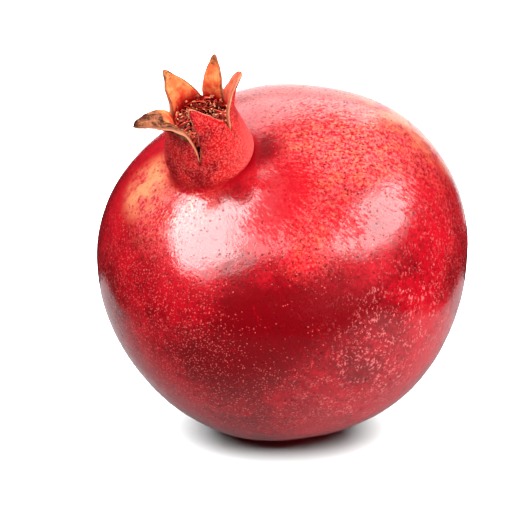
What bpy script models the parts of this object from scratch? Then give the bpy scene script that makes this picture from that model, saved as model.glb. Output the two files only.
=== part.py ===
"""A whole, ripe pomegranate as it was picked, resting on the flattened spot of its rind.

The rind, the crown tube and its five sepals grew as one body, so they are one solid, "fruit".
The dried stamens and the style that stand in the crown, and the woody stub of the stalk, are
separate organs, and each is an object of its own.

Run it in Blender 4.5:  blender --background --python part.py
Metres, +Z up. The origin is on the rest spot, straight below the middle of the round body.
+X is to the right and -Y to the front, where the crown leans over.
"""

import math
import random
from dataclasses import dataclass

import bmesh
import bpy
import numpy as np
from mathutils import Matrix, Vector

MM = 0.001

# The round body, in its growing frame: +Z is the line from the stalk to the crown.
MEAN_RADIUS = 47.6 * MM
# Angle from the crown's end, and the outline's radius there as a share of the mean radius.
OUTLINE = ((0, 0.885), (40, 0.975), (70, 1.028), (95, 1.006), (135, 0.960), (180, 0.925))
RIDGES = 5
RIDGE_HEIGHT = 0.011
RIDGE_TURN = math.radians(8.5)
# The stalk end is drawn in to a shallow dimple.
DIMPLE_DEPTH = 0.035
DIMPLE_SPREAD = math.radians(11)

# How the fruit lies: the growing axis leans by TILT towards HEADING.
TILT = math.radians(28.1)
HEADING = math.radians(235.2)
CENTRE_HEIGHT = 44.3 * MM

# The crown sits off the growing axis, and its tube stands nearly along that axis.
SEAT_POLAR = math.radians(12.3)
SEAT_AZIMUTH = math.radians(-29.6)
TUBE_POLAR = math.radians(11.8)
TUBE_AZIMUTH = math.radians(70.6)
TUBE_HEIGHT = 15.2 * MM
TUBE_FOOT_RADIUS = 13.2 * MM
TUBE_RIM_RADIUS = 8.6 * MM
TUBE_START = 5.0 * MM
FLARE_START = math.radians(21)
FLARE_PULL = 3.2 * MM
WALL_AT_FOOT = 3.0 * MM
WALL_AT_RIM = 1.7 * MM
WALL_AT_TIP = 0.7 * MM
CUP_FLOOR = 4.5 * MM
CUP_FLOOR_DOME = 0.6 * MM

# Resolution of the solid.
COLUMNS_PER_SEPAL = 10
BODY_ROWS = 24
FLARE_ROWS = 5
TUBE_ROWS = 4
SEPAL_ROWS = 7
CUP_ROWS = 3
FLOOR_ROWS = 3
SPINE_STEPS = 16

# The gap that keeps each organ's mesh clear of the rind's.
GAP = 0.3 * MM


@dataclass(frozen=True)
class Sepal:
    """One lobe of the crown. Angles are in degrees, and outward and anticlockwise are positive."""

    start: float
    end: float
    length: float
    lean: float
    curl: float
    sway: float
    slit: float
    hinge: float = 0.0


# Azimuths run round the tube from +X towards -Y. slit is the depth of the split at start, and
# hinge is how far below the rim the sepal begins to bend there.
SEPALS = (
    Sepal(start=31, end=97, length=11.0 * MM, lean=-18, curl=-3, sway=27, slit=2.0 * MM),
    Sepal(97, 191, length=11.2 * MM, lean=41, curl=62, sway=29, slit=8.0 * MM, hinge=1.0 * MM),
    Sepal(start=191, end=270, length=10.2 * MM, lean=18, curl=5, sway=-9, slit=1.8 * MM),
    Sepal(start=270, end=317, length=11.8 * MM, lean=14, curl=3, sway=4, slit=1.6 * MM),
    Sepal(start=317, end=391, length=12.8 * MM, lean=6, curl=32, sway=0, slit=1.8 * MM),
)
TIP_WIDTH = 1.0 * MM
TIP_FLATTENING = 0.8
SLIT_SHARPNESS = 4

# Stamens: (how many, root height, root inset, tip height, tip distance from the tube's axis)
STAMEN_RINGS = (
    (18, 8.6 * MM, 0.9 * MM, 13.2 * MM, 4.6 * MM),
    (11, 7.2 * MM, 1.9 * MM, 12.2 * MM, 2.7 * MM),
)
FILAMENT_RADIUS = 0.25 * MM
ANTHER_RADIUS = 0.5 * MM
ANTHER_LENGTH = 1.3 * MM
STYLE_HEIGHT = 7.4 * MM
STYLE_RADIUS = 0.55 * MM
STIGMA_RADIUS = 0.85 * MM
STUB_RADIUS = 2.6 * MM
STUB_LENGTH = 4.0 * MM


def clear_scene():
    for item in list(bpy.data.objects):
        bpy.data.objects.remove(item)


def material(name, colour, roughness):
    """A Principled material of one colour."""
    made = bpy.data.materials.new(name)
    made.use_nodes = True
    shader = made.node_tree.nodes["Principled BSDF"]
    shader.inputs["Base Color"].default_value = (*colour, 1)
    shader.inputs["Roughness"].default_value = roughness
    shader.inputs["Metallic"].default_value = 0
    return made


def polar_direction(polar, azimuth):
    across = math.sin(polar)
    return Vector((across * math.cos(azimuth), across * math.sin(azimuth), math.cos(polar)))


def smooth(t):
    t = min(max(t, 0.0), 1.0)
    return t * t * (3 - 2 * t)


class Body:
    """The round body: a turned outline with soft ridges, leaned over as the fruit lies."""

    def __init__(self):
        angles, radii = zip(*OUTLINE)
        # A polynomial in the cosine passes through the outline's points and is smooth at both ends.
        self.outline = np.polyfit(np.cos(np.radians(angles)), radii, len(OUTLINE) - 1)
        self.turn = Matrix.Rotation(HEADING, 3, "Z") @ Matrix.Rotation(TILT, 3, "Y")
        self.centre = Vector((0, 0, CENTRE_HEIGHT))
        self.stalk = self.turn @ Vector((0, 0, -1))
        self.seat = self.turn @ polar_direction(SEAT_POLAR, SEAT_AZIMUTH)

    def point(self, direction):
        """The point of the rind that lies that way from the body's centre."""
        grown = self.turn.transposed() @ direction
        polar = math.acos(max(-1.0, min(1.0, grown.z)))
        azimuth = math.atan2(grown.y, grown.x)
        share = float(np.polyval(self.outline, grown.z))
        share += RIDGE_HEIGHT * math.sin(polar) ** 2 * math.cos(RIDGES * azimuth + RIDGE_TURN)
        share -= DIMPLE_DEPTH * math.exp(-(((math.pi - polar) / DIMPLE_SPREAD) ** 2))
        return self.centre + direction * (MEAN_RADIUS * share)


class Crown:
    """The tube and its sepals, measured along the tube's axis from the seat on the body."""

    def __init__(self, body):
        self.foot = body.point(body.seat)
        self.axis = body.turn @ polar_direction(TUBE_POLAR, TUBE_AZIMUTH)
        self.right = (Vector((1, 0, 0)) - self.axis * self.axis.x).normalized()
        self.front = self.right.cross(self.axis)

    def outward(self, azimuth):
        return self.right * math.cos(azimuth) + self.front * math.sin(azimuth)

    def along(self, azimuth):
        """The level direction in which the azimuth grows."""
        return self.front * math.cos(azimuth) - self.right * math.sin(azimuth)

    def radius(self, height):
        return TUBE_RIM_RADIUS + (TUBE_FOOT_RADIUS - TUBE_RIM_RADIUS) * max(
            0.0, 1 - height / TUBE_HEIGHT
        ) ** 1.4

    def wall(self, height):
        """The tube's wall, thick at the foot and thin towards the tips."""
        if height < TUBE_HEIGHT:
            share = smooth(height / TUBE_HEIGHT)
            return WALL_AT_FOOT + (WALL_AT_RIM - WALL_AT_FOOT) * share
        longest = max(sepal.length for sepal in SEPALS)
        return WALL_AT_RIM + (WALL_AT_TIP - WALL_AT_RIM) * smooth((height - TUBE_HEIGHT) / longest)

    def tube_point(self, azimuth, height, depth=0.0):
        across = self.radius(height) - depth
        return self.foot + self.axis * height + self.outward(azimuth) * across

    def spine(self, sepal, rise, hinge):
        """The middle of a sepal at this distance above the rim: its point and outward normal."""
        middle = math.radians((sepal.start + sepal.end) / 2)
        outward, along = self.outward(middle), self.along(middle)
        start = TUBE_HEIGHT - hinge
        rim_slope = math.atan2(self.radius(start) - self.radius(start - MM), MM)
        place = self.tube_point(middle, start)
        climb, whole = rise + hinge, sepal.length + hinge
        lean = rim_slope
        for step in range(SPINE_STEPS):
            share = climb * (step + 0.5) / SPINE_STEPS / whole
            lean = rim_slope + (math.radians(sepal.lean) - rim_slope) * smooth(share / 0.35)
            lean += math.radians(sepal.curl) * max(0.0, share) ** 1.6
            side = math.tan(math.radians(sepal.sway)) * smooth(share / 0.35)
            heading = self.axis * math.cos(lean) + outward * math.sin(lean) + along * side
            place = place + heading.normalized() * (climb / SPINE_STEPS)
        return place, outward * math.cos(lean) - self.axis * math.sin(lean)

    def sepal_point(self, index, across, up, inner):
        """across runs -1 to 1 over the sepal and up 0 to 1 from the tube to its tip."""
        sepal = SEPALS[index]
        slit = sepal.slit if across < 0 else SEPALS[(index + 1) % len(SEPALS)].slit
        base = -slit * abs(across) ** SLIT_SHARPNESS
        rise = base + (sepal.length - base) * up
        climbed = (rise + slit) / (sepal.length + slit)
        half_angle = math.radians(sepal.end - sepal.start) / 2
        half_width = half_angle * TUBE_RIM_RADIUS * (1 - climbed ** 1.25) + TIP_WIDTH / 2 * climbed
        middle = math.radians((sepal.start + sepal.end) / 2)
        turn = across * half_width / TUBE_RIM_RADIUS
        depth = self.wall(TUBE_HEIGHT + rise) if inner else 0.0
        hinge = sepal.hinge * (1 - across) / 2
        if rise <= -hinge:
            return self.tube_point(middle + turn, TUBE_HEIGHT + rise, depth)
        place, normal = self.spine(sepal, rise, hinge)
        flattening = 1 + TIP_FLATTENING * (rise + hinge) / (sepal.length + hinge)
        bend = self.radius(TUBE_HEIGHT - hinge) * flattening
        angle = turn / flattening
        facing = normal * math.cos(angle) + self.along(middle) * math.sin(angle)
        return place - normal * bend + facing * (bend - depth)


class FruitSolid:
    """Builds the rind, crown and cup as one closed mesh, ring by ring."""

    def __init__(self, body, crown):
        self.body, self.crown = body, crown
        self.mesh = bmesh.new()
        self.column = self.mesh.verts.layers.int.new("column")
        self.columns = COLUMNS_PER_SEPAL * len(SEPALS)
        self.away = -body.seat
        self.level_right = (crown.right - body.seat * crown.right.dot(body.seat)).normalized()
        self.level_front = self.level_right.cross(body.seat)

    def azimuth(self, column):
        """Columns are spaced evenly over each sepal's own span."""
        index, step = divmod(column % self.columns, COLUMNS_PER_SEPAL)
        sepal = SEPALS[index]
        return math.radians(sepal.start + (sepal.end - sepal.start) * step / COLUMNS_PER_SEPAL)

    def body_direction(self, polar, column):
        """A direction at this angle from the crown's seat, seen from the body's centre."""
        azimuth = self.azimuth(column)
        level = self.level_right * math.cos(azimuth) + self.level_front * math.sin(azimuth)
        return self.body.seat * math.cos(polar) + level * math.sin(polar)

    def start_ring(self, place, middle):
        """A small fan round middle, whose rim has one vertex for each column."""
        made = bmesh.ops.create_circle(
            self.mesh, cap_ends=True, cap_tris=True, segments=self.columns, radius=MM
        )
        rim = [v for v in made["verts"] if v.co.length > 0.5 * MM]
        for vertex in made["verts"]:
            if vertex not in rim:
                vertex.co = middle
        rim.sort(key=lambda v: math.atan2(v.co.y, v.co.x))
        for column, vertex in enumerate(rim):
            vertex[self.column] = column
            vertex.co = place(column)
        return [e for e in self.mesh.edges if e.verts[0] in rim and e.verts[1] in rim]

    def extrude(self, edges, place):
        """Extrudes the edges and puts each new vertex at place(its column)."""
        made = bmesh.ops.extrude_edge_only(self.mesh, edges=edges)["geom"]
        for item in made:
            if isinstance(item, bmesh.types.BMVert):
                item.co = place(item[self.column])
        return [item for item in made if isinstance(item, bmesh.types.BMEdge)]

    def sepal_edges(self, ring, index):
        first = index * COLUMNS_PER_SEPAL
        wanted = {column % self.columns for column in range(first, first + COLUMNS_PER_SEPAL + 1)}
        return [e for e in ring if all(v[self.column] in wanted for v in e.verts)]

    def grow_sepals(self, ring, inner):
        """Extrudes each sepal by itself, so that a slit is left between two of them."""
        for index in range(len(SEPALS)):
            edges = self.sepal_edges(ring, index)
            for row in range(1, SEPAL_ROWS + 1):
                edges = self.extrude(
                    edges, lambda c, up=row / SEPAL_ROWS: self.on_sepal(c, up, inner, index)
                )

    def on_sepal(self, column, up, inner, index):
        step = (column - index * COLUMNS_PER_SEPAL) % self.columns
        return self.crown.sepal_point(index, 2 * step / COLUMNS_PER_SEPAL - 1, up, inner)

    def rim(self, column, inner):
        return self.on_sepal(column, 0, inner, column // COLUMNS_PER_SEPAL)

    def flare(self, column, share):
        """Blends the body into the tube along a cubic curve."""
        low = self.body.point(self.body_direction(FLARE_START, column))
        lower = self.body.point(self.body_direction(FLARE_START + 0.01, column))
        high = self.crown.tube_point(self.azimuth(column), TUBE_START)
        low_pull = (low - lower).normalized() * FLARE_PULL
        high_pull = self.crown.axis * -FLARE_PULL
        t, s = share, 1 - share
        return (
            low * s**3
            + (low + low_pull) * (3 * s * s * t)
            + (high + high_pull) * (3 * s * t * t)
            + high * t**3
        )

    def outer_shell(self):
        """From the stalk's dimple up the body and the tube to the tips of the sepals."""
        step = (math.pi - FLARE_START) / BODY_ROWS

        def on_body(row):
            return lambda c: self.body.point(self.body_direction(math.pi - row * step, c))

        ring = self.start_ring(on_body(1), self.body.point(self.away))
        for row in range(2, BODY_ROWS + 1):
            ring = self.extrude(ring, on_body(row))
        for row in range(1, FLARE_ROWS + 1):
            ring = self.extrude(ring, lambda c, share=row / FLARE_ROWS: self.flare(c, share))
        for row in range(1, TUBE_ROWS + 1):
            ring = self.extrude(ring, lambda c, share=row / TUBE_ROWS: self.on_tube(c, share, False))
        self.grow_sepals(ring, False)

    def on_tube(self, column, share, inner):
        """Rows of the wall, from a level ring at its foot to the curved line under the sepals."""
        if inner:
            height = CUP_FLOOR + WALL_AT_RIM
            level = self.crown.tube_point(self.azimuth(column), height, self.crown.wall(height))
        else:
            level = self.crown.tube_point(self.azimuth(column), TUBE_START)
        return level.lerp(self.rim(column, inner), share)

    def on_floor(self, column, share):
        """The cup's floor, a low dome with a rounded corner."""
        height = CUP_FLOOR + WALL_AT_RIM
        across = self.crown.radius(height) - self.crown.wall(height)
        rise = WALL_AT_RIM * (1 - math.sqrt(max(0.0, 1 - share**6))) + CUP_FLOOR_DOME * (1 - share)
        outward = self.crown.outward(self.azimuth(column))
        return self.crown.foot + self.crown.axis * (CUP_FLOOR + rise) + outward * across * share

    def inner_shell(self):
        """From the middle of the cup's floor up its wall to the inner faces of the sepals."""
        ring = self.start_ring(
            lambda c: self.on_floor(c, 1 / FLOOR_ROWS),
            self.crown.foot + self.crown.axis * (CUP_FLOOR + CUP_FLOOR_DOME),
        )
        for row in range(2, FLOOR_ROWS + 1):
            ring = self.extrude(ring, lambda c, share=row / FLOOR_ROWS: self.on_floor(c, share))
        for row in range(1, CUP_ROWS + 1):
            ring = self.extrude(ring, lambda c, share=row / CUP_ROWS: self.on_tube(c, share, True))
        self.grow_sepals(ring, True)

    def cut_rest_spot(self):
        """Cuts the body level with the surface that it rests on."""
        whole = self.mesh.verts[:] + self.mesh.edges[:] + self.mesh.faces[:]
        cut = bmesh.ops.bisect_plane(
            self.mesh, geom=whole, plane_co=(0, 0, 0), plane_no=(0, 0, -1), clear_outer=True
        )
        edges = [e for e in cut["geom_cut"] if isinstance(e, bmesh.types.BMEdge)]
        bmesh.ops.contextual_create(self.mesh, geom=edges)

    def build(self):
        self.outer_shell()
        self.inner_shell()
        rims = [e for e in self.mesh.edges if e.is_boundary]
        bmesh.ops.bridge_loops(self.mesh, edges=rims)
        self.cut_rest_spot()
        bmesh.ops.recalc_face_normals(self.mesh, faces=self.mesh.faces)
        return self.mesh


def add_mesh(name, mesh, finish):
    data = bpy.data.meshes.new(name)
    mesh.to_mesh(data)
    mesh.free()
    data.materials.append(finish)
    data.shade_smooth()
    data.set_sharp_from_angle(angle=math.radians(50))
    item = bpy.data.objects.new(name, data)
    bpy.context.scene.collection.objects.link(item)
    return item


def add_thread(name, points, radii, finish, roundness=1):
    """A round thread through the points, of the given radius at each, with closed ends."""
    data = bpy.data.curves.new(name, "CURVE")
    data.dimensions = "3D"
    data.bevel_depth = 1.0
    data.bevel_resolution = roundness
    data.use_fill_caps = True
    spline = data.splines.new("POLY")
    spline.points.add(len(points) - 1)
    for slot, place, radius in zip(spline.points, points, radii):
        slot.co = (*place, 1)
        slot.radius = radius
    data.materials.append(finish)
    item = bpy.data.objects.new(name, data)
    bpy.context.scene.collection.objects.link(item)
    return item


def stamen_path(crown, azimuth, ring, chance):
    """A filament from the wall of the tube that bows in over the cup, with its anther on the end."""
    _, root_height, root_inset, tip_height, tip_distance = ring
    wall = crown.radius(root_height) - crown.wall(root_height)
    root_distance = wall - GAP - FILAMENT_RADIUS - root_inset
    tip_height += chance.uniform(-0.5, 0.5) * MM
    points, radii = [], []
    steps = 5
    for step in range(steps + 1):
        share = step / steps
        distance = root_distance + (tip_distance - root_distance) * share**2.2
        height = root_height + (tip_height - root_height) * share
        points.append(crown.foot + crown.axis * height + crown.outward(azimuth) * distance)
        radii.append(FILAMENT_RADIUS * (1.2 - 0.4 * share))
    heading = (points[-1] - points[-2]).normalized()
    for share, width in ((0.25, 0.85), (0.6, 1.0), (0.9, 0.7), (1.0, 0.35)):
        points.append(points[steps] + heading * ANTHER_LENGTH * share)
        radii.append(ANTHER_RADIUS * width)
    return points, radii


def add_stamens(crown, finish):
    chance = random.Random(7)
    number = 0
    for ring in STAMEN_RINGS:
        for step in range(ring[0]):
            number += 1
            azimuth = math.tau * (step + 0.5) / ring[0]
            points, radii = stamen_path(crown, azimuth, ring, chance)
            add_thread(f"stamen_{number:02d}", points, radii, finish)


def add_style(crown, finish):
    """The dried style in the middle of the cup, with its stigma on top."""
    foot = CUP_FLOOR + CUP_FLOOR_DOME + GAP
    profile = (
        (0.0, STYLE_RADIUS * 1.5),
        (0.12, STYLE_RADIUS * 1.1),
        (0.5, STYLE_RADIUS),
        (0.8, STYLE_RADIUS),
        (0.88, STIGMA_RADIUS),
        (0.96, STIGMA_RADIUS),
        (1.0, STIGMA_RADIUS * 0.6),
    )
    points = [crown.foot + crown.axis * (foot + STYLE_HEIGHT * share) for share, _ in profile]
    add_thread("style", points, [radius for _, radius in profile], finish)


def add_stalk_stub(body, finish):
    """The short woody stub that is left where the stalk was clipped."""
    seat = body.point(body.stalk) + body.stalk * GAP
    profile = ((0.0, 1.15), (0.3, 1.0), (0.75, 0.96), (0.95, 1.0), (1.0, 0.9))
    points = [seat + body.stalk * (STUB_LENGTH * share) for share, _ in profile]
    radii = [STUB_RADIUS * width for _, width in profile]
    add_thread("stalk_stub", points, radii, finish, roundness=4)


def main():
    clear_scene()
    rind = material("rind", (0.46, 0.014, 0.022), 0.35)
    dried = material("dried_stamen", (0.30, 0.10, 0.045), 0.7)
    wood = material("stalk_wood", (0.20, 0.13, 0.08), 0.8)
    body = Body()
    crown = Crown(body)
    add_mesh("fruit", FruitSolid(body, crown).build(), rind)
    add_stamens(crown, dried)
    add_style(crown, dried)
    add_stalk_stub(body, wood)


main()
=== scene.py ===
"""A ripe pomegranate: waxy speckled rind, leathery crown, dried stamens and a stalk stub.

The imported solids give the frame. Finer pieces stand for them here: the rind with its crown as
one grown skin, the stamens, the style and the stub of the stalk. Metres, +Z up, and the fruit
leans its crown to the left and to the front (-Y).
"""

import logging
import math
import random
from dataclasses import dataclass, field
from enum import Enum
from functools import cached_property
from typing import Callable

import bmesh
import bpy
import numpy as np
from mathutils import Matrix, Quaternion, Vector, noise


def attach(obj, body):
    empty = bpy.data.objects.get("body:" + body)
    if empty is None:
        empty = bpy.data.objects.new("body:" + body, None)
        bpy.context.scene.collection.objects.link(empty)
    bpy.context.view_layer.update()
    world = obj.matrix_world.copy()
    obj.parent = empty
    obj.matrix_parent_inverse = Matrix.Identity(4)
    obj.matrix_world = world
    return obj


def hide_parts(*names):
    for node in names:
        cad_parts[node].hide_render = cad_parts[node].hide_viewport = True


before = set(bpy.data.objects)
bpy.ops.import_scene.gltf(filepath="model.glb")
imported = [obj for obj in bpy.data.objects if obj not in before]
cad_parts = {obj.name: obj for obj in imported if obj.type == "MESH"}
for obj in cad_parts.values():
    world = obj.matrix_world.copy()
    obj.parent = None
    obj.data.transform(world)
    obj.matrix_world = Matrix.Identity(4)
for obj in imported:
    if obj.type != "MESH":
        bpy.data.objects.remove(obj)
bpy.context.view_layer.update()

MM = 0.001
LOG = logging.getLogger("pomegranate")

Place = Callable[[int], "Spot"]
Colour = tuple[float, float, float]
Edges = list[bmesh.types.BMEdge]


class Side(Enum):
    """The two faces of the crown's wall."""

    OUTER = "outer"
    INNER = "inner"


def smooth(share: float) -> float:
    """Ease a share from 0 to 1, level at both ends."""
    share = min(max(share, 0.0), 1.0)
    return share * share * (3 - 2 * share)


def polar_direction(polar: float, azimuth: float) -> Vector:
    """Turn two angles into a direction.

    Args:
        polar: Angle from +Z, in radians.
        azimuth: Angle round +Z from +X, in radians.

    Returns:
        The unit vector that points that way.
    """
    across = math.sin(polar)
    return Vector((across * math.cos(azimuth), across * math.sin(azimuth), math.cos(polar)))


def added(name: str, data: bpy.types.ID) -> bpy.types.Object:
    """Put a new object in the scene.

    Args:
        name: Its name.
        data: Its mesh, light or camera.

    Returns:
        The object.
    """
    item = bpy.data.objects.new(name, data)
    bpy.context.scene.collection.objects.link(item)
    return item


def turned(outline: list[tuple[float, float]], segments: int) -> bmesh.types.BMesh:
    """Turn an outline all the way round +Z.

    Args:
        outline: The radius and height of each point, from the foot to the top.
        segments: How many steps the turn takes.

    Returns:
        The mesh, with its poles closed.
    """
    mesh = bmesh.new()
    verts = [mesh.verts.new((radius, 0, height)) for radius, height in outline]
    edges = [mesh.edges.new(pair) for pair in zip(verts, verts[1:])]
    bmesh.ops.spin(
        mesh,
        geom=verts + edges,
        cent=(0, 0, 0),
        axis=(0, 0, 1),
        angle=math.tau,
        steps=segments,
        use_merge=True,
    )
    bmesh.ops.remove_doubles(mesh, verts=mesh.verts, dist=0.001 * MM)
    return mesh


def stand(mesh: bmesh.types.BMesh, foot: Vector, axis: Vector) -> None:
    """Stand a turned mesh on its foot along an axis.

    Args:
        mesh: The mesh, upright at the origin.
        foot: Where its foot goes.
        axis: The way its top points.
    """
    turn = axis.to_track_quat("Z", "Y").to_matrix().to_4x4()
    bmesh.ops.transform(mesh, matrix=Matrix.Translation(foot) @ turn, verts=mesh.verts)
    bmesh.ops.recalc_face_normals(mesh, faces=mesh.faces)


@dataclass
class Spot:
    """One point of the grown skin and what its surface is like there."""

    place: Vector
    crown: float = 0.0
    margin: float = 0.0
    dry: float = 0.0
    inside: float = 0.0
    rosy: float = 0.0


@dataclass
class RoundBody:
    """The round body: a turned outline with soft ridges, leaned over as the fruit lies."""

    mean_radius: float = 47.6 * MM
    outline: tuple[tuple[float, float], ...] = (
        (0, 0.885),
        (40, 0.975),
        (70, 1.028),
        (95, 1.006),
        (135, 0.960),
        (180, 0.925),
    )
    ridges: int = 5
    ridge_height: float = 0.011
    ridge_turn: float = math.radians(8.5)
    dimple_depth: float = 0.035
    dimple_spread: float = math.radians(11)
    tilt: float = math.radians(28.1)
    heading: float = math.radians(235.2)
    centre_height: float = 44.3 * MM
    seat_polar: float = math.radians(12.3)
    seat_azimuth: float = math.radians(-29.6)
    # Shallow dents of the skin: (how many in a radius, their depth as a share of the radius).
    dents: tuple[tuple[float, float], ...] = ((2.3, 0.0045), (5.5, 0.0022), (12.0, 0.0008))

    def __post_init__(self) -> None:
        """Fit the outline and lay out the directions that everything else is placed by."""
        angles, radii = zip(*self.outline)
        self.curve = np.polyfit(np.cos(np.radians(angles)), radii, len(self.outline) - 1)
        self.turn = Matrix.Rotation(self.heading, 3, "Z") @ Matrix.Rotation(self.tilt, 3, "Y")
        self.upright = self.turn.transposed()
        self.centre = Vector((0, 0, self.centre_height))
        self.stalk = self.turn @ Vector((0, 0, -1))
        self.seat = self.turn @ polar_direction(self.seat_polar, self.seat_azimuth)

    def point(self, direction: Vector, dented: float = 1.0) -> Vector:
        """Find the rind.

        Args:
            direction: The way to look from the body's centre.
            dented: How much of the skin's dents to press in.

        Returns:
            The point of the rind that lies that way.
        """
        grown = self.upright @ direction
        polar = math.acos(max(-1.0, min(1.0, grown.z)))
        azimuth = math.atan2(grown.y, grown.x)
        share = 0.0
        for factor in self.curve:
            share = share * grown.z + factor
        ridge = math.cos(self.ridges * azimuth + self.ridge_turn)
        share += self.ridge_height * math.sin(polar) ** 2 * ridge
        share -= self.dimple_depth * math.exp(-(((math.pi - polar) / self.dimple_spread) ** 2))
        if dented:
            for count, depth in self.dents:
                share += dented * depth * noise.noise(direction * count)
        return self.centre + direction * (self.mean_radius * share)


@dataclass(frozen=True)
class Sepal:
    """One lobe of the crown. Angles are in degrees, outward and anticlockwise positive."""

    start: float
    end: float
    length: float
    lean: float
    curl: float
    sway: float
    slit: float
    hinge: float = 0.0
    taper: tuple[float, float] = (1.3, 1.3)
    dryness: float = 0.6
    fresh: float = 0.45
    tip_width: float = 1.1 * MM
    flattening: float = 0.8
    rosy: float = 0.0

    @property
    def middle(self) -> float:
        """The azimuth of the lobe's middle, in radians."""
        return math.radians((self.start + self.end) / 2)

    @property
    def half_angle(self) -> float:
        """Half of the lobe's span round the tube, in radians."""
        return math.radians(self.end - self.start) / 2


SEPALS = (
    Sepal(
        start=31,
        end=97,
        length=11.0 * MM,
        lean=-18,
        curl=-3,
        sway=27,
        slit=2.0 * MM,
        taper=(1.3, 2.3),
        dryness=0.3,
    ),
    Sepal(
        start=97,
        end=191,
        length=11.2 * MM,
        lean=41,
        curl=62,
        sway=29,
        slit=8.0 * MM,
        hinge=1.0 * MM,
        dryness=1.6,
        fresh=0.2,
        tip_width=1.8 * MM,
    ),
    Sepal(
        start=191,
        end=270,
        length=10.2 * MM,
        lean=18,
        curl=5,
        sway=-9,
        slit=1.8 * MM,
        taper=(1.05, 1.05),
        dryness=0.7,
    ),
    Sepal(
        start=270,
        end=317,
        length=11.8 * MM,
        lean=14,
        curl=3,
        sway=4,
        slit=1.6 * MM,
        taper=(1.5, 1.5),
        dryness=0.7,
    ),
    Sepal(
        start=317,
        end=391,
        length=12.8 * MM,
        lean=6,
        curl=32,
        sway=0,
        slit=1.8 * MM,
        taper=(1.2, 1.2),
        dryness=0.5,
        fresh=0.6,
        tip_width=3.0 * MM,
        flattening=-0.82,
        rosy=0.9,
    ),
)


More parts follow.
